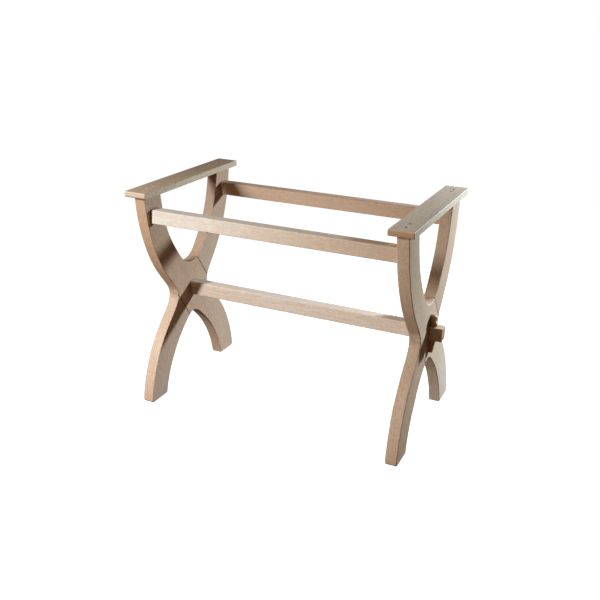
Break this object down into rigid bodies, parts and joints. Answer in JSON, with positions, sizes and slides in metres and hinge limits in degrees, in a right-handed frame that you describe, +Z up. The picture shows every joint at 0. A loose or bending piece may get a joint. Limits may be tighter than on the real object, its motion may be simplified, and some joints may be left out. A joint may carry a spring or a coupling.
{
  "type": "trestle table base",
  "caption": "Knock-down wooden table base: curved X-leg trestles with flat top bearers, joined by upper rails and a lower stretcher whose through tenons are locked by wedges.",
  "frame": {"origin": "on the floor, under the middle of the base: midway between the two trestles and midway between the front and rear feet", "axes": "+X along the rails towards the right trestle, +Y from front to rear along the bearers, +Z up"},
  "size_m": [0.946, 0.54, 0.7],
  "materials": {
    "leg": "raw planed beech, curved leg",
    "bearer": "raw planed beech, slightly greyed top",
    "rail": "raw planed beech, straight grain",
    "stretcher": "raw planed beech, straight grain, pink figure",
    "wedge": "raw beech, end-sawn wedge",
    "dowel": "turned beech dowel",
    "screw": "zinc-plated steel, dull"
  },
  "bodies": {
    "frame": {"left_leg_a": "leg", "left_leg_b": "leg", "left_top_bearer": "bearer", "left_front_bearer_screw_1": "screw", "left_front_bearer_screw_2": "screw", "left_rear_bearer_screw_1": "screw", "left_rear_bearer_screw_2": "screw", "right_leg_a": "leg", "right_leg_b": "leg", "right_top_bearer": "bearer", "right_front_bearer_screw_1": "screw", "right_front_bearer_screw_2": "screw", "right_rear_bearer_screw_1": "screw", "right_rear_bearer_screw_2": "screw", "front_upper_rail": "rail", "front_rail_dowel_left_lower": "dowel", "front_rail_dowel_left_upper": "dowel", "front_rail_dowel_right_lower": "dowel", "front_rail_dowel_right_upper": "dowel", "rear_upper_rail": "rail", "rear_rail_dowel_left_lower": "dowel", "rear_rail_dowel_left_upper": "dowel", "rear_rail_dowel_right_lower": "dowel", "rear_rail_dowel_right_upper": "dowel", "lower_stretcher": "stretcher"},
    "left_wedge": {"left_wedge": "wedge"},
    "right_wedge": {"right_wedge": "wedge"}
  },
  "joints": [
    {"name": "left_wedge_lift", "type": "slide", "parent": "frame", "child": "left_wedge", "axis": [0, 0, 1], "range_m": [0, 0.095]},
    {"name": "right_wedge_lift", "type": "slide", "parent": "frame", "child": "right_wedge", "axis": [0, 0, 1], "range_m": [0, 0.095]}
  ]
}
